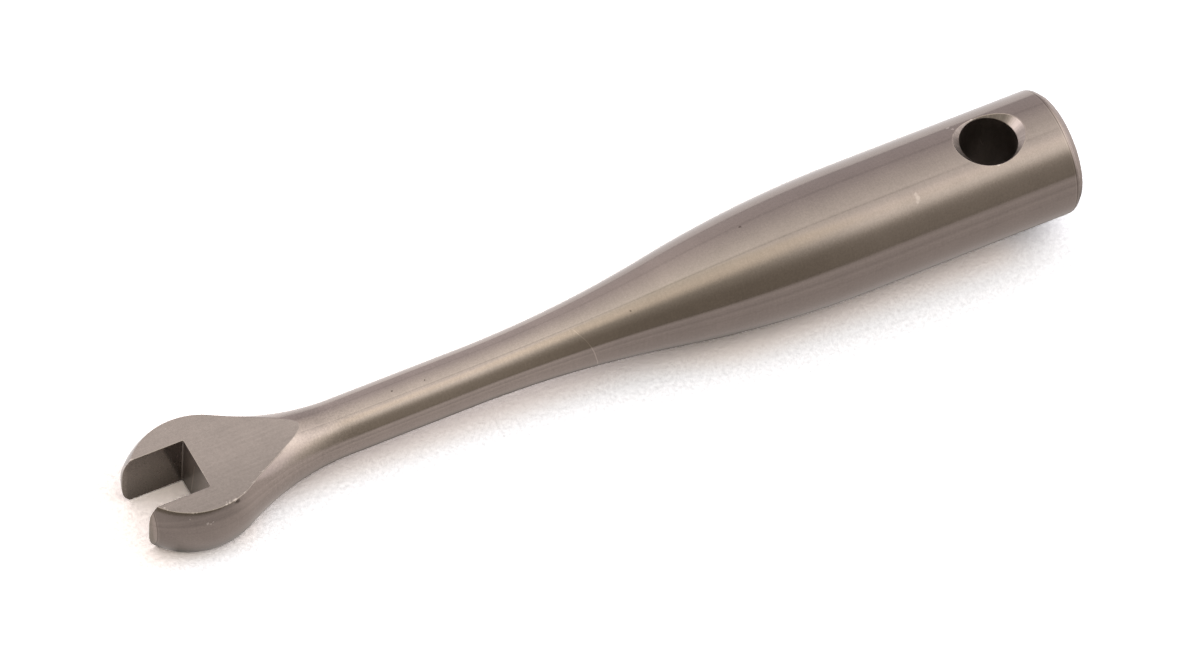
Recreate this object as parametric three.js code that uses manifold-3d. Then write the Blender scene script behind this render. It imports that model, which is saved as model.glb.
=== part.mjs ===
// Turnbuckle wrench: one piece of aluminium bar, turned to a slim waist between a barrel
// shaped head and a thick handle, then milled flat at the head, slotted and cross-drilled.
//
// Millimetres. The origin is the centre of the jaw slot's back wall, +X runs along the
// tool's axis to the end of the handle, +Z is square to the head's flat faces, and the
// two jaws lie on either side of the axis in Y.

import * as THREE from 'three';
import { mergeVertices } from 'three/addons/utils/BufferGeometryUtils.js';
import Module from 'manifold-3d';

// Jaw slot, a nominal 5 mm across the turnbuckle's wrench flats
const jawNominal = 5;
const jawClearance = 0.04;
const jawDepth = 5.5; // from the back wall to the face of the jaw tips
const slotCornerRadius = 0.2; // left by the cutter in the two back corners

// Turned head
const headDiameter = 11.1;
const crownForward = 0.1; // widest circle of the head, ahead of the slot's back wall
const tipDiameter = 6.1; // of the face across the jaw tips, measured to its sharp corner
const tipCornerRadius = 1.25; // that rounds this corner
const headBackRadius = 7.1; // profile arc from the crown towards the throat
const headThickness = 5.6; // across the two milled flats

// Waist behind the head
const throatRadius = 22.6;
const neckDiameter = 4.95;
const neckLength = 11.8; // parallel stretch between the throat and the handle's swell

// Handle
const swellHollowRadius = 107.5; // profile arc that leaves the neck
const swellCrownRadius = 108; // profile arc that meets the grip
const handleDiameter = 11.2;
const gripLength = 19.5; // parallel stretch, with the chamfer at its end
const endChamfer = 0.6; // at 45 degrees
const endBlendRadius = 0.7; // that rounds the chamfer's outer corner

// Cross hole near the end of the handle, countersunk at 45 degrees on both sides
const holeDiameter = 5;
const countersinkDepth = 0.75; // below the handle's crown
const holeFromEnd = 6.85;

// Greatest gap between a round surface and its flat facets
const facetError = 0.006;

// How far a cutter runs out of the metal
const cutOverrun = 1;

const finish = { color: 0x8d8078, roughness: 0.34, metalness: 1 };

const quarterTurn = Math.PI / 2;
const jawOpening = jawNominal + jawClearance;
const headRadius = headDiameter / 2;
const neckRadius = neckDiameter / 2;
const handleRadius = handleDiameter / 2;

// Number of chords that follow an arc to within the facet error.
function chords(radius, angle) {
  return Math.ceil(angle / (2 * Math.acos(1 - facetError / radius)));
}

// Points on a circle from one angle to another, both ends included. Angles are in
// radians, counted from +X.
function arc(centre, radius, from, to) {
  const steps = chords(radius, Math.abs(to - from));
  return Array.from({ length: steps + 1 }, (_, i) => {
    const angle = from + ((to - from) * i) / steps;
    const spoke = new THREE.Vector2(Math.cos(angle), Math.sin(angle));
    return spoke.multiplyScalar(radius).add(centre);
  });
}

// The profile functions give points (along the axis, radius). This one is the jaw tips:
// a flat face, its round corner, and the long arc that rises to the head's crown.
function noseProfile() {
  const run = jawDepth - crownForward;
  const rise = headRadius - tipDiameter / 2;
  const frontRadius = (run * run + rise * rise) / (2 * rise);
  const front = new THREE.Vector2(-crownForward, headRadius - frontRadius);
  const reach = frontRadius - tipCornerRadius;
  const tilt = Math.acos((tipCornerRadius - run) / reach);
  const corner = new THREE.Vector2(Math.cos(tilt), Math.sin(tilt));
  corner.multiplyScalar(reach).add(front);
  return [
    new THREE.Vector2(-jawDepth, 0),
    ...arc(corner, tipCornerRadius, 2 * quarterTurn, tilt),
    ...arc(front, frontRadius, tilt, quarterTurn).slice(1),
  ];
}

// Back of the head: an arc down from the crown, then a hollow arc into the neck.
function throatProfile() {
  const back = new THREE.Vector2(-crownForward, headRadius - headBackRadius);
  const span = headBackRadius + throatRadius;
  const tilt = Math.asin((neckRadius + throatRadius - back.y) / span);
  const throat = new THREE.Vector2(Math.cos(tilt), Math.sin(tilt));
  throat.multiplyScalar(span).add(back);
  return [
    ...arc(back, headBackRadius, quarterTurn, tilt).slice(1),
    ...arc(throat, throatRadius, tilt - 2 * quarterTurn, -quarterTurn).slice(1),
  ];
}

// Swell from the neck to the grip: a hollow arc and a crowned arc, tangent throughout.
function swellProfile(start) {
  const hollow = new THREE.Vector2(start, neckRadius + swellHollowRadius);
  const span = swellHollowRadius + swellCrownRadius;
  const tilt = Math.acos((hollow.y - handleRadius + swellCrownRadius) / span);
  const crown = new THREE.Vector2(Math.sin(tilt), -Math.cos(tilt));
  crown.multiplyScalar(span).add(hollow);
  return [
    ...arc(hollow, swellHollowRadius, -quarterTurn, tilt - quarterTurn),
    ...arc(crown, swellCrownRadius, quarterTurn + tilt, quarterTurn).slice(1),
  ];
}

// End of the grip: a round corner, the rest of the 45 degree chamfer, and the flat end.
function endProfile(end) {
  const turned = quarterTurn / 2;
  const start = end - endChamfer - endBlendRadius * Math.tan(turned / 2);
  const blend = new THREE.Vector2(start, handleRadius - endBlendRadius);
  return [
    ...arc(blend, endBlendRadius, quarterTurn, quarterTurn - turned),
    new THREE.Vector2(end, handleRadius - endChamfer),
    new THREE.Vector2(end, 0),
  ];
}

const headProfile = [...noseProfile(), ...throatProfile()];
const neckStart = headProfile[headProfile.length - 1].x;
const handleProfile = swellProfile(neckStart + neckLength);
const gripStart = handleProfile[handleProfile.length - 1].x;
const handleEnd = gripStart + gripLength;

// A profile turned about the X axis. The radius sets how many facets go round.
function turn(profile, radius) {
  const facets = 4 * chords(radius, quarterTurn);
  const points = profile.map((p) => new THREE.Vector2(p.y, p.x));
  return new THREE.LatheGeometry(points, facets).rotateZ(-quarterTurn);
}

// Metal milled away above one flat. The cut runs out in the air over the neck.
function flatCutter(side) {
  const height = headRadius - headThickness / 2 + cutOverrun;
  const width = headDiameter + 2 * cutOverrun;
  const front = -jawDepth - cutOverrun;
  const cutter = new THREE.BoxGeometry(neckStart - front, width, height);
  return cutter.translate((neckStart + front) / 2, 0, side * (headThickness + height) / 2);
}

// The slot as the cutter leaves it: open at the tips, with round back corners.
function slotCutter() {
  const wall = jawOpening / 2;
  const mouth = -jawDepth - cutOverrun;
  const near = new THREE.Vector2(-slotCornerRadius, slotCornerRadius - wall);
  const far = new THREE.Vector2(-slotCornerRadius, wall - slotCornerRadius);
  const outline = new THREE.Shape([
    new THREE.Vector2(mouth, -wall),
    ...arc(near, slotCornerRadius, -quarterTurn, 0),
    ...arc(far, slotCornerRadius, 0, quarterTurn),
    new THREE.Vector2(mouth, wall),
  ]);
  const depth = headThickness + 2 * cutOverrun;
  const slot = new THREE.ExtrudeGeometry(outline, { depth, bevelEnabled: false });
  return slot.translate(0, 0, -depth / 2);
}

// Drill and both countersinks in one turned form, stood along Z in the handle.
function holeCutter() {
  const bore = holeDiameter / 2;
  const lip = handleRadius - countersinkDepth;
  const top = handleRadius + cutOverrun;
  const mouth = bore + countersinkDepth + cutOverrun;
  const profile = [
    new THREE.Vector2(-top, 0),
    new THREE.Vector2(-top, mouth),
    new THREE.Vector2(-lip, bore),
    new THREE.Vector2(lip, bore),
    new THREE.Vector2(top, mouth),
    new THREE.Vector2(top, 0),
  ];
  return turn(profile, bore).rotateY(quarterTurn).translate(handleEnd - holeFromEnd, 0, 0);
}

const wasm = await Module();
wasm.setup();

function toSolid(geometry) {
  geometry.deleteAttribute('normal');
  geometry.deleteAttribute('uv');
  const merged = mergeVertices(geometry);
  return new wasm.Manifold(new wasm.Mesh({
    numProp: 3,
    vertProperties: merged.getAttribute('position').array,
    triVerts: Uint32Array.from(merged.getIndex().array),
  }));
}

function toGeometry(solid) {
  const { vertProperties, triVerts } = solid.getMesh();
  const geometry = new THREE.BufferGeometry();
  geometry.setAttribute('position', new THREE.BufferAttribute(vertProperties, 3));
  geometry.setIndex(new THREE.BufferAttribute(triVerts, 1));
  geometry.computeVertexNormals();
  return geometry;
}

function wrenchBody() {
  const blank = turn([...headProfile, ...handleProfile, ...endProfile(handleEnd)], handleRadius);
  const cutters = [flatCutter(1), flatCutter(-1), slotCutter(), holeCutter()];
  const solid = cutters.reduce((metal, cutter) => metal.subtract(toSolid(cutter)), toSolid(blank));
  const mesh = new THREE.Mesh(toGeometry(solid), new THREE.MeshStandardMaterial(finish));
  mesh.name = 'wrench_body';
  return mesh;
}

const wrench = new THREE.Group();
wrench.name = 'turnbuckle_wrench';
wrench.add(wrenchBody());

export default wrench;
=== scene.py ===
import math

import bpy
from mathutils import Matrix, Vector


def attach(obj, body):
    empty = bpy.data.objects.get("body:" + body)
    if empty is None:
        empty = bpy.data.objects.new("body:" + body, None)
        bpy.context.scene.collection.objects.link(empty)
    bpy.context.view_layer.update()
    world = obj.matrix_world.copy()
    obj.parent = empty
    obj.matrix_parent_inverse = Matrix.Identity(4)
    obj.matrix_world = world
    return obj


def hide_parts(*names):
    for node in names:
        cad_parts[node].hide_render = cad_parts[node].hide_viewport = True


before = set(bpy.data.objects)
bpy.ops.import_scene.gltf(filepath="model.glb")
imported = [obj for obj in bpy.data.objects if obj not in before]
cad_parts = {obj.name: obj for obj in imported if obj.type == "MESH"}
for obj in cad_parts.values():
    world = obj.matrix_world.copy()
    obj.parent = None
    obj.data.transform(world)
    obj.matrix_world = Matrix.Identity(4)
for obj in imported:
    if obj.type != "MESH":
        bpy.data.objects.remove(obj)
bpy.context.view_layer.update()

# The wrench is one length of round aluminium bar, hard anodised a warm grey. Its outline is
# turned about the X axis, then two flats and the jaw slot are milled in the head and a
# countersunk hole is drilled across the handle. Sizes are in millimetres.
MM = 0.001

# Outline: places along the axis, and radii of the circles and of the arcs between them
tip_x = -5.5
tip_radius = 3.05
tip_corner = 1.25
crown_x = -0.1
head_radius = 5.55
head_back = 7.1
throat_hollow = 22.6
neck_radius = 2.475
neck_length = 11.8
swell_hollow = 107.5
swell_crown = 108.0
handle_radius = 5.6
grip_length = 19.5
end_chamfer = 0.6
end_blend = 0.7
end_break = 0.1

# Slot, flats and cross hole, and how far their edges are broken
half_slot = 2.52
slot_corner = 0.12
half_flats = 2.8
hole_radius = 2.5
countersink = 0.75
hole_from_end = 6.85
edge_break = 0.06
bore_break = 0.05

# Places of some stretches in the outline's list, and the halvings that find a point on it
front_arc, throat_arc, grip_line = 2, 4, 8
halvings = 60
quarter = math.pi / 2


def outline_of_arc(centre, radius, start, stop, steps):
    # An arc of the turned outline. Angles from +X; the metal is inside a crown arc, which
    # runs clockwise, and outside a hollow one, which runs anticlockwise.
    side = 1 if stop < start else -1

    def at(t):
        a = start + (stop - start) * t
        c, s = math.cos(a), math.sin(a)
        return centre[0] + radius * c, centre[1] + radius * s, side * c, side * s

    return abs(stop - start) * radius, at, steps


def outline_of_line(a, b, steps):
    length = math.dist(a, b)
    nx, nr = -(b[1] - a[1]) / length, (b[0] - a[0]) / length

    def at(t):
        return a[0] + (b[0] - a[0]) * t, a[1] + (b[1] - a[1]) * t, nx, nr

    return length, at, steps


def wrench_outline():
    run, rise = crown_x - tip_x, head_radius - tip_radius
    front_radius = (run * run + rise * rise) / (2 * rise)
    front = (crown_x, head_radius - front_radius)
    reach = front_radius - tip_corner
    nose = math.acos((tip_corner - run) / reach)
    corner = (front[0] + reach * math.cos(nose), front[1] + reach * math.sin(nose))
    back = (crown_x, head_radius - head_back)
    span = head_back + throat_hollow
    slope = math.asin((neck_radius + throat_hollow - back[1]) / span)
    throat = (back[0] + span * math.cos(slope), back[1] + span * math.sin(slope))
    swell_x = throat[0] + neck_length
    rise = math.acos((neck_radius + swell_hollow - handle_radius + swell_crown)
                     / (swell_hollow + swell_crown))
    hollow = (swell_x, neck_radius + swell_hollow)
    grip_x = swell_x + (swell_hollow + swell_crown) * math.sin(rise)
    crown = (grip_x, handle_radius - swell_crown)
    end_x = grip_x + grip_length
    blend_x = end_x - end_chamfer - end_blend * math.tan(quarter / 4)
    blend = (blend_x, handle_radius - end_blend)
    blend_out = (blend_x + end_blend * math.sin(quarter / 2),
                 blend[1] + end_blend * math.cos(quarter / 2))
    set_back = end_break * math.tan(quarter / 4)
    rim = (end_x - end_break, handle_radius - end_chamfer - set_back)
    rim_in = (rim[0] + end_break * math.sin(quarter / 2),
              rim[1] + end_break * math.cos(quarter / 2))
    return end_x, [
        outline_of_line((tip_x, half_slot), (tip_x, corner[1]), 2),
        outline_of_arc(corner, tip_corner, 2 * quarter, nose, 12),
        outline_of_arc(front, front_radius, nose, quarter, 22),
        outline_of_arc(back, head_back, quarter, slope, 20),
        outline_of_arc(throat, throat_hollow, slope - 2 * quarter, -quarter, 26),
        outline_of_line((throat[0], neck_radius), (swell_x, neck_radius), 6),
        outline_of_arc(hollow, swell_hollow, -quarter, rise - quarter, 24),
        outline_of_arc(crown, swell_crown, quarter + rise, quarter, 24),
        outline_of_line((grip_x, handle_radius), (blend_x, handle_radius), 16),
        outline_of_arc(blend, end_blend, quarter, quarter / 2, 8),
        outline_of_line(blend_out, rim_in, 1),
        outline_of_arc(rim, end_break, quarter / 2, 0, 4),
        outline_of_line((end_x, rim[1]), (end_x, 0), 1),
    ]


handle_end, outline = wrench_outline()
outline_starts = [0]
for stretch in outline:
    outline_starts.append(outline_starts[-1] + stretch[0])


def outline_at(s):
    # Point (x, radius) and outward normal at a distance s along the outline.
    k = max(i for i in range(len(outline)) if i == 0 or outline_starts[i] <= s)
    length, at, _ = outline[k]
    return at((s - outline_starts[k]) / length)


def station(goal, low, high):
    # Distance along the outline at which a value that rises or falls steadily is zero.
    rising = goal(high) > goal(low)
    for _ in range(halvings):
        middle = (low + high) / 2
        if (goal(middle) > 0) == rising:
            high = middle
        else:
            low = middle
    return (low + high) / 2


def turned(s, angle):
    # Point and normal of the turned surface. The angle starts at +Y and rises to +Z.
    x, r, nx, nr = outline_at(s)
    c, k = math.cos(angle), math.sin(angle)
    return Vector((x, r * c, r * k)), Vector((nx, nr * c, nr * k))


def shifted(s, angle, move):
    # The outline distance and angle after a small move along the turned surface.
    x, r, nx, nr = outline_at(s)
    c, k = math.cos(angle), math.sin(angle)
    along = Vector((nr, -nx * c, -nx * k))
    across = Vector((0, -k, c))
    return s + move.dot(along), angle + move.dot(across) / r


def inward(own, other):
    # Direction in a surface that leads away from the edge it makes with another.
    return -(other - own * own.dot(other)).normalized()


class Skin:
    """Points with their exact normals, joined into faces."""

    merge_steps = 20000  # to the millimetre, between points that are told apart

    def __init__(self):
        self.points, self.normals, self.faces, self.known = [], [], [], {}

    def add(self, point, normal):
        key = tuple(round(value * self.merge_steps) for value in point)
        if key not in self.known:
            self.known[key] = len(self.points)
            self.points.append(point)
            self.normals.append(normal.normalized())
        return self.known[key]

    def face(self, corners):
        ring = [c for i, c in enumerate(corners) if c != corners[i - 1]]
        if len(set(ring)) < 3 or len(set(ring)) < len(ring):
            ring = list(dict.fromkeys(ring))
        if len(ring) < 3:
            return
        area = Vector((0, 0, 0))
        for i in range(1, len(ring) - 1):
            first = self.points[ring[i]] - self.points[ring[0]]
            second = self.points[ring[i + 1]] - self.points[ring[0]]
            area += first.cross(second)
        facing = sum((self.normals[c] for c in ring), Vector((0, 0, 0)))
        self.faces.append(ring if area.dot(facing) > 0 else ring[::-1])

    def patch(self, rows):
        # Faces between neighbouring rows of (point, normal)
        grid = [[self.add(*corner) for corner in row] for row in rows]
        for upper, lower in zip(grid, grid[1:]):
            for i in range(len(upper) - 1):
                self.face([upper[i], upper[i + 1], lower[i + 1], lower[i]])


# One quarter of the tool: the far, upper one. The angle round it is cut in equal rows.
skin = Skin()
rows_round = 32
flat_up = Vector((0, 0, 1))
wall_out = Vector((0, -1, 0))


def bevel(first, edge, second, steps=4):
    # Points of a rounded edge between two points with normals, bulging to the sharp edge.
    (p, n), (q, m) = first, second
    row = []
    for i in range(steps + 1):
        t = i / steps
        row.append((p * (1 - t) ** 2 + edge * 2 * t * (1 - t) + q * t * t, n.lerp(m, t)))
    return row


# Where the slot's wall, the flat and the turned surface meet, and the tip of the flat.
meet_radius = math.hypot(half_slot, half_flats)
front_start, crown = outline_starts[front_arc:front_arc + 2]
meet = station(lambda s: outline_at(s)[1] - meet_radius, front_start, crown)
throat_start, throat_stop = outline_starts[throat_arc:throat_arc + 2]
flat_tip = station(lambda s: outline_at(s)[1] - half_flats, throat_start, throat_stop)

# Front edge: turned surface against the slot's wall
wall_edge = []
for k, steps in enumerate((4, 12, 3)):
    low, high = outline_starts[k], min(outline_starts[k + 1], meet)
    wall_edge += [low + (high - low) * i / steps for i in range(steps)]
# Flat's edge: turned surface against the flat, closer together towards its tip. Up to the
# fan its points are joined to the slot, and from there to the flat's centre line.
fan_x = 2.5
fan = station(lambda s: outline_at(s)[0] - fan_x, crown, throat_start)
front_steps, back_steps, tip_steps = 22, 14, 34
flat_edge = [meet + (crown - meet) * i / front_steps for i in range(front_steps)]
flat_edge += [crown + (fan - crown) * i / back_steps for i in range(back_steps)]
flat_edge += [fan + (flat_tip - fan) * (1 - (1 - i / tip_steps) ** 2)
              for i in range(tip_steps + 1)]

# Rounded edges. A column is the place where the turned surface starts beside them.
columns, wall_side, flat_side = [], [], []
for s in wall_edge + flat_edge:
    radius = outline_at(s)[1]
    on_wall = s < meet
    angle = math.acos(min(1, half_slot / radius)) if on_wall else math.asin(
        min(1, half_flats / radius))
    corner, normal = turned(s, angle)
    if s == meet:
        towards_wall, towards_flat = inward(normal, wall_out), inward(normal, flat_up)
        move = (towards_wall + towards_flat) / (1 + towards_wall.dot(towards_flat))
        column = shifted(s, angle, move * edge_break)
        ways = inward(flat_up, normal), inward(flat_up, wall_out)
        on_flat = corner + (ways[0] + ways[1]) * edge_break / (1 + ways[0].dot(ways[1]))
        ways = inward(wall_out, normal), inward(wall_out, flat_up)
        on_slot = corner + (ways[0] + ways[1]) * edge_break / (1 + ways[0].dot(ways[1]))
        # Here the three edges meet in a small rounded corner
        trio = (turned(*column), (on_flat, flat_up), (on_slot, wall_out))
        corner_sides = []
        for i in range(3):
            (p, n), (q, m) = trio[i], trio[(i + 1) % 3]
            run = n.cross(m).normalized()
            corner_sides.append(bevel((p, n), corner + run * run.dot(p - corner), (q, m)))
        centre = sum((side[2][0] for side in corner_sides), Vector((0, 0, 0))) / 3
        lean = trio[0][1] + flat_up + wall_out
        centre += (corner - centre).project(lean) * 0.25
        for side in corner_sides:
            for a, b in zip(side, side[1:]):
                skin.face([skin.add(*a), skin.add(*b), skin.add(centre, lean)])
        wall_side.append(corner_sides[2][::-1])
        flat_side.append(corner_sides[0])
    else:
        other = wall_out if on_wall else flat_up
        column = shifted(s, angle, inward(normal, other) * edge_break)
        kept = corner + inward(other, normal) * edge_break
        (wall_side if on_wall else flat_side).append(
            bevel(turned(*column), corner, (kept, other)))
    columns.append(column)
skin.patch(wall_side)
skin.patch(flat_side)

# Turned surface, from the jaw tips to the handle's end. Round the hole it leaves a window
# open, which is twice half_window long and reaches down to window_row.
last = columns[-1][0]
columns[0] = (columns[0][0], 0.0)
columns[-1] = (last, quarter)
hole_x = handle_end - hole_from_end
half_window = 4.2
window_row = window_steps = 16
lead_length, lead_steps = 8.0, 7
stations = []
for k in range(throat_arc, len(outline)):
    length, at, steps = outline[k]
    low = outline_starts[k]
    if k == grip_line:
        x_low = at(0)[0]
        stops = [x_low + lead_length * i / lead_steps for i in range(lead_steps)]
        stops += [hole_x - half_window + 2 * half_window * i / window_steps
                  for i in range(window_steps + 1)]
        stations += [low + x - x_low for x in stops]
    else:
        stations += [low + length * i / steps for i in range(steps)]
stations.append(outline_starts[-1])
least_gap = 0.05
stations = [s for s in stations if s > last + least_gap]
grid_columns = columns + [(s, quarter) for s in stations]
grid = [[turned(s, angle * j / rows_round) for j in range(rows_round + 1)]
        for s, angle in grid_columns]
for left, right in zip(grid, grid[1:]):
    x = (left[0][0].x + right[0][0].x) / 2
    stop = window_row if abs(x - hole_x) < half_window else rows_round
    skin.patch([left[:stop + 1], right[:stop + 1]])

# Flat: slot's edge and centre line on one side, the flat's own edge on the other
slot_edge, centre_line = [], []
fillet = (-slot_corner, half_slot - slot_corner)
fillet_steps = 6
behind = [s for s in flat_edge if s <= fan and outline_at(s)[0] >= -slot_corner]
for s in flat_edge:
    x = outline_at(s)[0]
    if x < -slot_corner:
        point, out = Vector((x, half_slot, half_flats)), wall_out
    elif s <= fan:
        k = behind.index(s)
        if k <= fillet_steps:
            a = quarter * (1 - k / fillet_steps)
            out = Vector((-math.cos(a), -math.sin(a), 0))
            point = Vector((fillet[0] + slot_corner * math.cos(a),
                            fillet[1] + slot_corner * math.sin(a), half_flats))
        else:
            out = Vector((-1, 0, 0))
            left = 1 - (k - fillet_steps) / (len(behind) - 1 - fillet_steps)
            point = Vector((0, fillet[1] * left, half_flats))
    else:
        centre_line.append(s)
        continue
    slot_edge.append((point, out))

slot_side = []
for i, (point, out) in enumerate(slot_edge):
    if i == 0:
        slot_side.append(corner_sides[1])
        continue
    slot_side.append(bevel((point - out * edge_break, flat_up), point,
                           (point - flat_up * edge_break, out)))
skin.patch(slot_side)
tip_point = flat_side[-1][-1][0]
inner = [row[0] for row in slot_side]
for s in centre_line:
    share = (outline_at(s)[0] - fan_x) / (outline_at(flat_tip)[0] - fan_x)
    inner.append((Vector((edge_break + (tip_point.x - edge_break) * share, 0, half_flats)),
                  flat_up))
outer = [row[-1] for row in flat_side]
skin.patch([inner, outer])

# Slot: the jaw's wall, the round back corner and the back wall. Its rows run from the upper
# edge to mid height, where those of the curved front edge are spread over front_spread.
top = [row[-1] for row in wall_side[:-1]] + [row[-1] for row in slot_side]
front_x = tip_x + edge_break
front_spread = 1.6
bottom = []
for i, (point, out) in enumerate(top):
    if i < len(wall_side):
        x = front_x + front_spread * i / (len(wall_side) - 1)
        bottom.append((Vector((x, half_slot, 0)), wall_out))
    elif out == wall_out:
        start = top[len(wall_side) - 1][0].x
        share = (point.x - start) / (-slot_corner - start)
        x = front_x + front_spread + (-slot_corner - front_x - front_spread) * share
        bottom.append((Vector((x, half_slot, 0)), wall_out))
    else:
        bottom.append((Vector((point.x, point.y, 0)), out))
skin.patch([top, bottom])

# Cross hole: the rim on the grip, the countersink, its inner edge and the bore
inside = [s for s in stations if abs(outline_at(s)[0] - hole_x) <= half_window + 1e-6]
ring = [(inside[-1], quarter * j / rows_round) for j in range(rows_round, window_row, -1)]
ring += [(s, quarter * window_row / rows_round) for s in inside[::-1]]
ring += [(inside[0], quarter * j / rows_round) for j in range(window_row + 1, rows_round + 1)]
rim_low = handle_radius - countersink
cone_foot = rim_low - hole_radius
rim_steps = 6
rim_rows = []
for s, angle in ring:
    point, normal = turned(s, angle)
    bearing = math.atan2(handle_radius * (quarter - angle), point.x - hole_x)
    if angle == quarter:
        bearing = 0 if point.x > hole_x else math.pi
    c, k = math.cos(bearing), math.sin(bearing)
    # The countersink's edge on the round handle is found by closing in on its radius
    rho = hole_radius + countersink
    for _ in range(halvings):
        rho = math.sqrt(handle_radius ** 2 - (rho * k) ** 2) - cone_foot
    edge = Vector((hole_x + rho * c, rho * k, rho + cone_foot))
    n_grip = Vector((0, edge.y, edge.z)).normalized()
    n_cone = Vector((-c, -k, 1)).normalized()
    s_edge = s + edge.x - point.x
    a_edge = math.atan2(edge.z, edge.y)
    near = shifted(s_edge, a_edge, inward(n_grip, n_cone) * edge_break)
    room = rho - hole_radius
    fall = min(edge_break, room * 0.6)
    below = Vector((hole_x + (rho - fall / math.sqrt(2)) * c,
                    (rho - fall / math.sqrt(2)) * k,
                    rho + cone_foot - fall / math.sqrt(2)))
    lip = min(bore_break, room * 0.5) / math.sqrt(2)
    above = Vector((hole_x + (hole_radius + lip) * c, (hole_radius + lip) * k, rim_low + lip))
    corner = Vector((hole_x + hole_radius * c, hole_radius * k, rim_low))
    under = corner - flat_up * bore_break
    n_bore = Vector((-c, -k, 0))
    outer_part = [turned(s + (near[0] - s) * t / rim_steps,
                         angle + (near[1] - angle) * t / rim_steps) for t in range(rim_steps)]
    row = outer_part + bevel(turned(*near), edge, (below, n_cone))
    row += bevel((above, n_cone), corner, (under, n_bore), 3)
    row += [(Vector((under.x, under.y, 0)), n_bore)]
    rim_rows.append(row)
skin.patch(rim_rows)

# The other three quarters mirror the first one.
wrench_mesh = bpy.data.meshes.new("wrench_body_skin")
whole = Skin()
for side_y in (1, -1):
    for side_z in (1, -1):
        flip = Vector((1, side_y, side_z))
        numbers = [whole.add(p * flip, n * flip) for p, n in zip(skin.points, skin.normals)]
        for ring in skin.faces:
            face = [numbers[c] for c in ring]
            whole.faces.append(face if side_y * side_z > 0 else face[::-1])
wrench_mesh.from_pydata([p * MM for p in whole.points], [], whole.faces)
wrench_mesh.validate()
wrench_mesh.shade_smooth()
wrench_mesh.normals_split_custom_set_from_vertices([n[:] for n in whole.normals])
wrench = bpy.data.objects.new("wrench_skin", wrench_mesh)
bpy.context.collection.objects.link(wrench)


class Value:
    """A shader socket with the operators that its maths needs."""

    def __init__(self, tree, socket):
        self.tree, self.socket = tree, socket

    def node(self, kind, settings=None, inputs=None, output=0):
        node = self.tree.nodes.new(kind)
        for name, setting in (settings or {}).items():
            setattr(node, name, setting)
        for key, value in (inputs or {}).items():
            socket = node.inputs[key]
            if isinstance(value, Value):
                self.tree.links.new(value.socket, socket)
            else:
                socket.default_value = value
        return Value(self.tree, node.outputs[output] if node.outputs else None)

    def maths(self, operation, *values):
        return self.node("ShaderNodeMath", {"operation": operation}, dict(enumerate(values)))

    def __add__(self, other):
        return self.maths("ADD", self, other)

    __radd__ = __add__

    def __sub__(self, other):
        return self.maths("SUBTRACT", self, other)

    def __rsub__(self, other):
        return self.maths("SUBTRACT", other, self)

    def __mul__(self, other):
        return self.maths("MULTIPLY", self, other)

    __rmul__ = __mul__

    def __truediv__(self, other):
        return self.maths("DIVIDE", self, other)

    def __pow__(self, other):
        return self.maths("POWER", self, other)

    def abs(self):
        return self.maths("ABSOLUTE", self)

    def most(self, other):
        return self.maths("MAXIMUM", self, other)

    def step(self, low, high):
        # 0 below low and 1 above high, with a soft change between them
        return self.node("ShaderNodeMapRange", {"interpolation_type": "SMOOTHSTEP"},
                         {"Value": self, "From Min": low, "From Max": high})

    def mix(self, first, second):
        # The first colour where this mask is 0, and the second where it is 1
        return self.node("ShaderNodeMix", {"data_type": "RGBA"},
                         {"Factor": self, 6: first, 7: second}, 2)

    def separated(self):
        node = self.node("ShaderNodeSeparateXYZ", None, {0: self}).socket.node
        return [Value(self.tree, output) for output in node.outputs]

    def vector(self, operation, first, second=None, scale=None):
        inputs = {0: first}
        if second is not None:
            inputs[1] = second
        if scale is not None:
            inputs["Scale"] = scale
        return self.node("ShaderNodeVectorMath", {"operation": operation}, inputs)

    def noise(self, stretch, scale, detail=2.0, roughness=0.5):
        # Noise of a point, from 0 to 1, drawn out along axes with a small stretch
        point = self.vector("MULTIPLY", self, stretch)
        return self.node("ShaderNodeTexNoise", None, {
            "Vector": point, "Scale": scale, "Detail": detail, "Roughness": roughness})


def shader_values(material):
    material.use_nodes = True
    tree = material.node_tree
    tree.nodes.clear()
    return Value(tree, None)


def srgb(red, green, blue):
    # Linear colour from 0 to 255 values
    def linear(value):
        value /= 255
        return value / 12.92 if value <= 0.04045 else ((value + 0.055) / 1.055) ** 2.4

    return linear(red), linear(green), linear(blue), 1


# Finish: satin hard anodising. Places are in millimetres along, across and above the axis,
# and in degrees round it, from the top down the camera's side.
anodised = bpy.data.materials.new("hard_anodised_aluminium")
tools = shader_values(anodised)
place = tools.node("ShaderNodeTexCoord", output="Object")
along, across, above = (axis * (1 / MM) for axis in place.separated())
degrees = 180 / math.pi
around = tools.maths("ARCTAN2", -1 * across, above) * degrees
radial = (across * across + above * above) ** 0.5
from_hole = ((along - hole_x) ** 2 + across * across) ** 0.5
height = above.abs()

# Which surface a point is on
flats = height.step(half_flats - 0.02, half_flats - 0.005) * (1 - along.step(9.4, 9.5))
slot = (1 - across.abs().step(half_slot + 0.01, half_slot + 0.03)) * (
    1 - along.step(0.01, 0.03)) * (1 - height.step(half_flats - 0.08, half_flats - 0.04))
near_hole = along.step(68, 69)
bore = near_hole * (1 - from_hole.step(hole_radius + 0.01, hole_radius + 0.03)) * (
    1 - height.step(rim_low + 0.01, rim_low + 0.04))
cone = near_hole * (1 - (height - cone_foot - from_hole).abs().step(0.02, 0.05)) * (
    1 - radial.step(handle_radius - 0.06, handle_radius - 0.02))
chamfer = along.step(handle_end - end_chamfer - 0.05, handle_end - end_chamfer)

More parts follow.
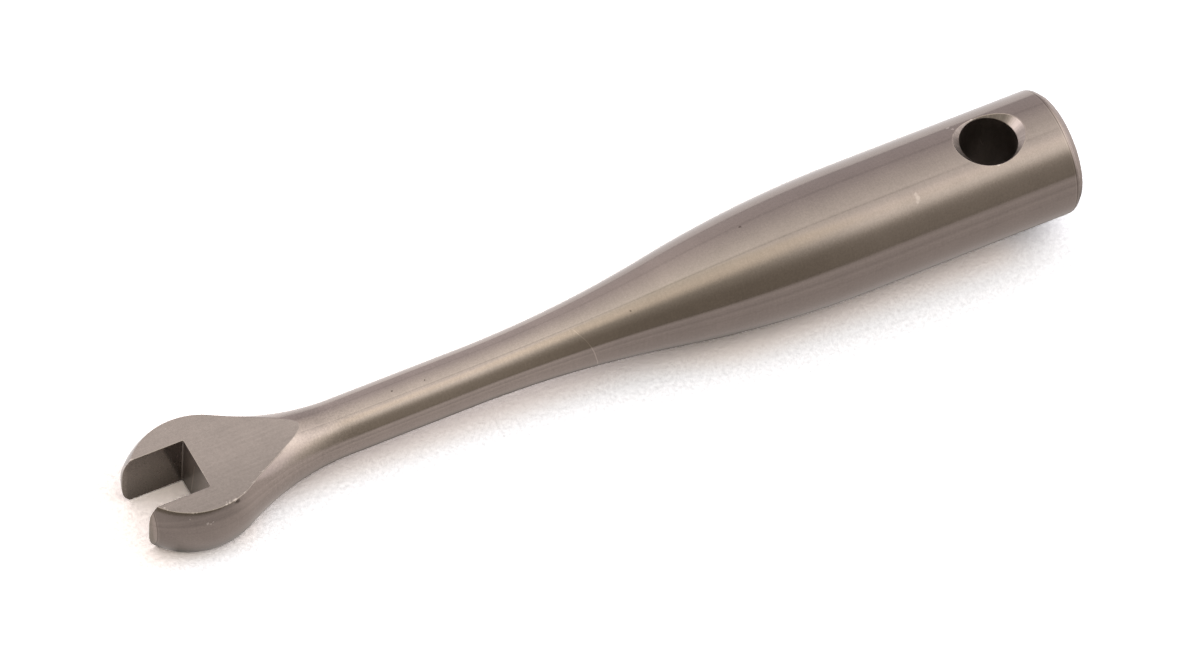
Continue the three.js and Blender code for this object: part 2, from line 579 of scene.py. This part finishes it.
# Grain of the finish, mill marks along the flats, turning marks round the rest
grain = place.noise((1, 1, 1), 5200, detail=3, roughness=0.6)
mottle = place.noise((1, 1, 1), 420, detail=3, roughness=0.55)
mill_marks = place.noise((0.05, 1, 0.2), 4600, detail=2, roughness=0.6)
turning = place.noise((1, 0.03, 0.03), 7000, detail=2, roughness=0.6)
# Chatter of the countersink, as streaks that run down its cone
hole_turn = tools.maths("ARCTAN2", across, along - hole_x)
spokes = tools.node("ShaderNodeCombineXYZ", None, {
    0: tools.maths("COSINE", hole_turn), 1: tools.maths("SINE", hole_turn)})
chatter = spokes.noise((1, 1, 1), 14, detail=2, roughness=0.6)
# The surface's own place, shaken a little, which gives small marks a ragged outline
raggedness = 0.28 * MM
ragged = place.node("ShaderNodeTexNoise", None, {"Vector": place, "Scale": 4200.0}, 1)
ragged = tools.vector("SUBTRACT", ragged, (0.5, 0.5, 0.5))
ragged = tools.vector("MULTIPLY", ragged, (raggedness, raggedness, raggedness))
ragged = tools.vector("ADD", place, ragged)


def mark(x, y, z, size, stretch=1):
    # Mask of a small ragged mark, in millimetres. The stretch is along the tool.
    squeeze = (1 / stretch, 1, 1)
    point = tools.vector("MULTIPLY", ragged, squeeze)
    spot = (x * MM / stretch, y * MM, z * MM)
    distance = tools.node("ShaderNodeVectorMath", {"operation": "DISTANCE"},
                          {0: point, 1: spot}, "Value")
    return 1 - distance.step(0.3 * size * MM, size * MM)


# Bare chips along the flats' edges, on the jaws' sides and at the mouth of the hole
chips = mark(1.29, -4.62, 2.79, 0.15, 2)
for x, y, z, size, stretch, depth in (
        (0.73, -4.66, 2.79, 0.1, 1.5, 0.8), (0.41, -4.7, 2.79, 0.12, 1.2, 0.8),
        (0.5, -4.55, 2.8, 0.07, 1, 0.7), (0.85, -4.5, 2.8, 0.06, 1, 0.7),
        (2.23, -4.3, 2.79, 0.1, 3.5, 0.45), (3.4, -3.68, 2.79, 0.08, 5, 0.35),
        (4.6, -3.0, 2.79, 0.08, 6, 0.35), (-4.16, -3.2, 2.79, 0.1, 1, 0.6),
        (-4.3, -2.85, 2.79, 0.1, 1.5, 0.6), (-2.42, -4.36, 2.78, 0.11, 1, 0.7),
        (-2.18, -4.45, 2.75, 0.09, 1, 0.7), (-0.82, 4.2, 2.8, 0.11, 1, 0.7),
        (-4.78, 2.55, 2.79, 0.28, 1.3, 0.9), (-5.0, 2.5, 2.4, 0.2, 1, 0.8),
        (-0.1, 2.44, 2.76, 0.12, 1, 0.7), (0.03, -0.3, 2.8, 0.07, 1, 0.5),
        (0.04, -1.0, 2.8, 0.08, 1, 0.5), (-2.75, -4.5, 2.3, 0.1, 1, 0.7),
        (-1.46, -5.14, 1.75, 0.19, 0.8, 0.9), (-1.2, -5.22, 1.6, 0.13, 1, 0.7),
        (-1.0, -5.22, 1.75, 0.12, 1, 0.7), (71.6, 2.7, 4.91, 0.13, 1.4, 0.8),
        (71.85, 2.3, 5.12, 0.14, 1.4, 0.8), (73.84, 2.6, 4.96, 0.11, 1.5, 0.8),
        (73.6, -2.62, 4.95, 0.12, 1.4, 0.8), (65.77, -2.73, 4.89, 0.4, 0.6, 0.3),
        (65.7, -2.4, 5.06, 0.22, 1, 0.25), (65.62, -2.98, 4.74, 0.25, 0.8, 0.25)):
    chips = chips.most(mark(x, y, z, size, stretch) * depth)
# Edges rubbed bare in places: the flats' crest and the mouth of the hole
crest = height.step(half_flats - 0.075, half_flats - 0.055) * (
    1 - height.step(half_flats - 0.004, half_flats - 0.001)) * (1 - along.step(9.3, 9.6))
mouth = near_hole * radial.step(handle_radius - 0.05, handle_radius - 0.02) * (
    1 - (height - cone_foot - from_hole).abs().step(0.04, 0.1))
worn = place.noise((1, 1, 1), 1500, detail=4, roughness=0.7)
rubbed = (crest * (1 - along.step(1.5, 2.2) * 0.8)).most(mouth)
rubbed = (rubbed * worn.step(0.46, 0.66)).most(mouth * (1 - across.step(-2.3, -1.7)))

# Fine scratches: one part of the way round the neck, others on the grip
wander = mottle * 0.3
neck_scratch = along - (33.2 + around * 0.0387 - around * around * 0.00016) - wander
scratches = (1 - neck_scratch.abs().step(0.015, 0.06)) * (
    around.step(18, 30) * (0.7 + 0.5 * around.step(50, 62)) * (1 - around.step(104, 112)))
for x, slant, low, high, depth in (
        (72.6, 0.03, -66, -38, 0.5), (73.7, -0.02, -66, -50, 0.5),
        (49.0, -0.08, -64, -52, 0.3), (57.5, 0.12, -20, 4, 0.2), (22.4, 0.06, -40, -12, 0.25)):
    line = 1 - (along - (x + around * slant) - wander).abs().step(0.015, 0.05)
    scratches = scratches.most(line * depth * around.step(low, low + 5) * (
        1 - around.step(high - 5, high)))
# A line scored down the slot's back wall
scored = (1 - (across - 0.37 - (1.87 - above) * 0.114).abs().step(0.04, 0.09)) * slot * (
    above.step(-2.3, -1.8) * (1 - above.step(1.8, 2.0)))
# Dark specks
specks = mark(50.74, 0.92, 4.99, 0.16, 1.3)
for x, y, z, size in ((39.16, -1.63, 3.02, 0.13), (17.8, -0.14, 2.47, 0.13),
                      (20.77, -0.29, 2.46, 0.1), (65.1, 1.9, 5.2, 0.08)):
    specks = specks.most(mark(x, y, z, size))
specks = specks.most(mark(1.42, -4.74, 2.62, 0.24, 1.7))
# Painted reflections: faint lengthwise light and dark bands on the camera's side, by angle
# round the tool
bands = (1 - (around - 65).abs().step(0.5, 2.5)) * 0.08
for angle, depth in ((70.5, -0.07), (74, 0.05), (80, -0.04), (-12.5, -0.05), (14.5, 0.03)):
    bands = bands + (1 - (around - angle).abs().step(0.5, 2)) * depth
bands = bands - (1 - (around - 17).abs().step(0.3, 1.1)) * 0.08 * (1 - near_hole * 0.7)
# Dark lines left where the cutter changed direction: inside the jaw tips, before the end
# chamfer. The shine beside the second and round the jaw tips' front faces is a thin painted
# highlight
rings = (1 - (along + 5.139).abs().step(0.01, 0.05)) * (1 - slot) * 0.5
rings = rings.most((1 - (along - (handle_end - 0.83)).abs().step(0.02, 0.07)) * 0.55)
shine = (1 - (along - (handle_end - 0.93)).abs().step(0.02, 0.08)) * 0.5
shine = shine.most((1 - (radial - 2.62).abs().step(0.02, 0.07)) * (1 - along.step(-5.49, -5.4)))

# Parts of the head where light and shade are painted. The head, the slot and the jaw tips take
# a lighter tone, which is painted light. The jaw's wall has a dark triangle beside their
# corner, a painted reflection of the back wall.
tips = 1 - along.step(-5.2, -5.0)
pale = (along.step(-6, 7) * (1 - along.step(28, 43))).most(slot).most(tips)
wall = slot * across.step(2.3, 2.45) * (1 - along.step(-0.12, -0.04))
mirrored = (along + 1.02 + above * 0.3).step(-0.18, 0.18)
back = slot * along.step(-0.1, -0.02)
rim = height.step(0.8, 2.6) * (1 - flats) * (1 - slot) * (along.step(-4.8, -3.2) * 0.7 + 0.3)
flanks = (across.abs() / radial).step(0.5, 0.75) * (1 - flats)
throat_side = flanks * along.step(1.2, 3.2) * (1 - along.step(9, 11)) * height.step(0.1, 1.5)
throat = along.step(3, 6) * (1 - along.step(12, 16)) * (1 - flats)
behind_flat = (1 - flanks) * (1 - flats) * along.step(7.5, 9.5) * (1 - along.step(10.5, 12.5))
# The flat's rounded crest behind the slot, where painted shade darkens its highlight
crest_behind_slot = crest * along.step(1.5, 2.5) * (1 - along.step(6, 8))

# Light and dark of the finish: grain everywhere, and painted shade that darkens the near jaw's
# flat
shade = 0.93 + mottle * 0.14 + (grain - 0.5) * 0.3 + (mill_marks - 0.5) * flats * 0.2
shade = shade - flats * (1 - across.step(-4.5, 0.5)) * 0.18
# Painted shade and light in the slot: its wall darkens downwards and by the dark triangle, its
# back wall is lightest at its near corner and darker at its far side and bottom, and the scored
# line is lighter
shade = shade - wall * (1 - above.step(-3.2, 1.2)) * 0.33
shade = shade - wall * mirrored * (above.step(-1.5, 1.5) * 0.2 + 0.3)
shade = shade + back * (1 - across.step(-2.2, 0.5)) * 0.35 + scored * 0.9
shade = shade - back * across.step(1.0, 2.2).most(1 - above.step(-2.6, -0.6)) * 0.24
# Painted shade and light on the head: its rim darkens towards the flats, the turned surface
# just behind the flats' tip is darker, and its tips and the throat's sides are lighter
shade = shade - rim * (1 - along.step(0.3, 2.2)) * 0.22 + throat_side * 0.16
shade = shade - behind_flat * 0.15 + (1 - along.step(-5.2, -4.95)) * 0.2
# The countersink's chatter streaks run down its cone, with a painted highlight at the two ends
# of the cone along the tool and, towards the head, painted light on its far side and painted
# shade on the camera's side
cone_turn = hole_turn * degrees
spoke = (1 - (cone_turn - 13).abs().step(4, 22)) * 0.85
spoke = spoke + (1 - (180 - cone_turn.abs()).step(0, 34)) * 0.6
spoke = spoke + (1 - (along - hole_x).step(-2.2, -1.2)) * (across.step(-0.6, 1.4) - 0.5) * 0.5
shade = shade + cone * ((chatter - 0.5) * 0.7 + spoke - 0.24)
# Painted light and shade on the end chamfer: lighter part way down the camera's side, darker
# below that
shade = shade - chamfer * around.step(72, 92) * 0.45
shade = shade + chamfer * around.step(15, 30) * (1 - around.step(58, 72)) * 0.14
# Turning marks and painted reflection bands on the turned surface; painted shade on the crest
# behind the slot, lighter scratches and a coarser grain in the throat
shade = shade + (turning - 0.5) * (1 - flats) * 0.1 + bands * (1 - flats) * (1 - slot)
shade = shade - crest_behind_slot * 0.25 + scratches * 0.25 + throat * (grain - 0.5) * 0.25

handle_grey = srgb(157, 146, 140)
head_grey = srgb(176, 164, 157)
flats_grey = srgb(172, 162, 156)
back_wall_grey = srgb(205, 196, 194)
chamfer_grey = srgb(190, 178, 173)
cone_grey = srgb(196, 186, 181)
bore_brown = srgb(52, 44, 38)
speck_brown = srgb(84, 74, 67)
rubbed_grey = srgb(196, 184, 176)
bare_metal = srgb(214, 204, 198)

# The head's lighter tone and the back wall's lighter, more neutral one are painted light
tone = pale.mix(handle_grey, head_grey)
tone = flats.mix(tone, flats_grey)
tone = (back * 0.7).mix(tone, back_wall_grey)
tone = (chamfer * 0.5).mix(tone, chamfer_grey)
tone = (cone * 0.9).mix(tone, cone_grey)
tone = (bore * 0.35).mix(tone, bore_brown)
tone = tools.vector("SCALE", tone, scale=shade)
tone = (rings.most(specks * 0.8)).mix(tone, speck_brown)
tone = (scratches.most(scored) * 0.55).most(rubbed * 0.4).most(shine * 0.5).mix(
    tone, rubbed_grey)
tone = chips.mix(tone, bare_metal)
rough = 0.14 + (grain - 0.5) * 0.1 + flats * 0.08 + cone * 0.2 + bore * 0.3
rough = rough + slot * 0.12 + back * 0.1 + chips.most(rubbed) * 0.3 + chamfer * 0.35
rough = rough + crest_behind_slot * 0.2 + throat * 0.08
relief = grain * 0.6 + mill_marks * flats * 1.2 + turning * (1 - flats) * 0.8 - chips * 6
relief = relief - scratches * 1.5 - rings * 2
bump = tools.node("ShaderNodeBump", None, {
    "Height": relief, "Strength": 0.35, "Distance": 0.0015 * MM})
finish = tools.node("ShaderNodeBsdfPrincipled", None, {
    "Base Color": tone, "Metallic": 1.0, "Roughness": rough, "Normal": bump})
tools.node("ShaderNodeOutputMaterial", None, {"Surface": finish})
wrench_mesh.materials.append(anodised)
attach(wrench, "root")
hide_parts("wrench_body")

# The floor is white paper. The tool lies on it on the lower front edges of its jaws and on
# the belly of its handle, so the paper is level with those and the tool's axis is tilted.
nose_x = outline_at(meet)[0]
grip_x = handle_end - grip_length
to_centre = Vector((grip_x - nose_x, swell_crown - handle_radius + half_flats))
tilt = math.asin(swell_crown / to_centre.length) - math.atan2(to_centre.y, to_centre.x)
touch = Vector((grip_x - swell_crown * math.sin(tilt), 0,
                swell_crown - handle_radius - swell_crown * math.cos(tilt)))

paper_mesh = bpy.data.meshes.new("paper")
half_paper = 3.0
paper_mesh.from_pydata([(x * half_paper, y * half_paper, 0)
                        for x, y in ((-1, -1), (1, -1), (1, 1), (-1, 1))], [], [(0, 1, 2, 3)])
paper = bpy.data.objects.new("paper", paper_mesh)
paper.matrix_world = Matrix.Translation(touch * MM) @ Matrix.Rotation(tilt, 4, "Y")
bpy.context.collection.objects.link(paper)

# To the camera the paper is over-exposed white, so its fibres show only in the shadow, where a
# painted warm tint next to and under the tool stands for light thrown back by the metal. Places
# are in millimetres from the slot's back wall.
paper_white = bpy.data.materials.new("paper_white")
tools = shader_values(paper_white)
ray = tools.node("ShaderNodeLightPath").socket.node
camera_ray, glossy_ray, clear_ray = (
    Value(tools.tree, ray.outputs[name])
    for name in ("Is Camera Ray", "Is Glossy Ray", "Is Transmission Ray"))
place = tools.node("ShaderNodeTexCoord", output="Object")
along, across, _ = place.separated()
along = along * (1 / MM) + touch.x
across = across * (1 / MM)
under_head = 1 - along.step(2, 6)
under_neck = (1 - under_head) * (1 - along.step(38, 50))
fibres = place.noise((1, 1, 1), 3000, detail=3, roughness=0.7) * 0.8 + 0.6
behind_tool = (across - under_neck * 2.5).step(-6.5, -3.5) * (1 - along.step(73, 78))
seen = behind_tool.mix((1.41, 1.46, 1.6, 1), (1.46, 1.39, 1.42, 1))
seen = tools.vector("SCALE", seen, scale=fibres)
# In bounce light and in the metal the paper is plain grey, with painted shade beneath the neck
plain = under_neck.mix((0.5, 0.5, 0.5, 1), (0.4, 0.4, 0.4, 1))
matt = tools.node("ShaderNodeBsdfDiffuse", None, {"Color": camera_ray.mix(plain, seen)})
# In the metal the paper shows as a painted glow, dimmer on the camera's side and brighter
# beyond the tool, except in a strip placed where the tool's shadow falls, which shows the lit
# matt paper with its real shadow
mirrored_white = across.step(-1, 5).mix((0.6, 0.56, 0.54, 1), (1.08, 1.05, 1.05, 1))
bright = tools.node("ShaderNodeEmission", None, {"Color": mirrored_white})
out_of_shadow = 1 - (across + under_head * 0.6 - under_neck * 1.6).step(-5.9, -2.7)
out_of_shadow = out_of_shadow.most(across.step(2, 10))
ahead = (1 - along.step(-4.7, -3.2)) * (1 - across.step(-3.4, -2.4))
out_of_shadow = out_of_shadow.most(ahead * 0.8)
both = tools.node("ShaderNodeMixShader", None, {
    0: glossy_ray.most(clear_ray) * out_of_shadow, 1: matt, 2: bright})
tools.node("ShaderNodeOutputMaterial", None, {"Surface": both})
paper_mesh.materials.append(paper_white)

# Studio light, all of it in the world. Directions are in degrees: bearing 0 is beyond the
# handle's end, -90 is the camera's side, and lean is measured from overhead across the tool.
grey_wall, white_wall = (0.71, 0.66, 0.67, 1), (1.06, 0.98, 0.96, 1)
dim_room = (0.31, 0.28, 0.23, 1)
soft_box, hot_core = (1.61, 1.59, 1.56), (1.07, 1.03, 0.92)
overhead, amber_light = (2.07, 2.05, 1.83, 1), (2.5, 2.27, 1.86, 1)
studio = bpy.data.worlds.new("studio")
bpy.context.scene.world = studio
tools = shader_values(studio)
away, side, up = tools.node("ShaderNodeTexCoord", output="Generated").separated()
height = tools.maths("ARCSINE", up) * degrees
bearing = tools.maths("ARCTAN2", side, away) * degrees
lean = tools.maths("ARCTAN2", side, up) * degrees

# A grey wall beyond the handle, a white one behind the tool, and a dim room elsewhere
side_wall = bearing.step(70, 94) * (1 - bearing.step(165, 180))
light = side_wall.mix(grey_wall, white_wall)
dark_side = (1 - bearing.step(-51, -39)).most(bearing.step(165, 180))
light = dark_side.mix(light, dim_room)
# A soft box to the right of the camera, with a hot core
box = bearing.step(-82, -45) * (1 - bearing.step(-18, 47)) * (
    0.19 + 0.81 * height.step(33, 58)) * (1 - height.step(41, 76))
light = tools.vector("ADD", light, tools.vector("SCALE", soft_box, scale=box))
core = bearing.step(-68, -47) * (1 - bearing.step(30, 63)) * (
    height.step(5, 58) * (1 - height.step(33, 61)))
light = tools.vector("ADD", light, tools.vector("SCALE", hot_core, scale=core))
# A warm broad light overhead, amber above the camera, with seams between its panels
light = height.step(22, 151).mix(light, overhead)
amber = height.step(48, 72) * (1 - height.step(51, 100)) * (1 - bearing.step(-55, -21))
light = (amber * 0.46).mix(light, amber_light)
seam = (1 - (lean + 2.2).abs().step(0.5, 2.0)) * up.step(0.1, 0.3) * 0.15
seam = seam.most((1 - (lean - 56.8).abs().step(0.5, 3.0)) * 0.12)
seam = seam.most((1 - (lean.abs() - 88).abs().step(1, 3)) * 0.12)
light = tools.vector("SCALE", light, scale=1 - seam)
glow = tools.node("ShaderNodeBackground", None, {"Color": light, "Strength": 1.0})
tools.node("ShaderNodeOutputWorld", None, {"Surface": glow})

# Camera of the photograph, a long lens above the tool's near side. In metres.
camera_data = bpy.data.cameras.new("camera")
camera_data.sensor_width = 36
camera_data.lens = 240
camera_data.clip_start = 0.01
camera = bpy.data.objects.new("camera", camera_data)
bpy.context.collection.objects.link(camera)
camera_place = Vector((-0.171184, -0.334680, 0.537816))
camera_aim = Vector((0.037089, -0.000549, 0.0))
camera_roll = math.radians(5.3987)
forward = (camera_aim - camera_place).normalized()
level_right = forward.cross(Vector((0, 0, 1))).normalized()
level_up = level_right.cross(forward)
right = level_right * math.cos(camera_roll) + level_up * math.sin(camera_roll)
turn = Matrix((right, right.cross(forward), -forward)).transposed()
camera.matrix_world = Matrix.Translation(camera_place) @ turn.to_4x4()
bpy.context.scene.camera = camera
bpy.context.scene.view_settings.view_transform = "Standard"
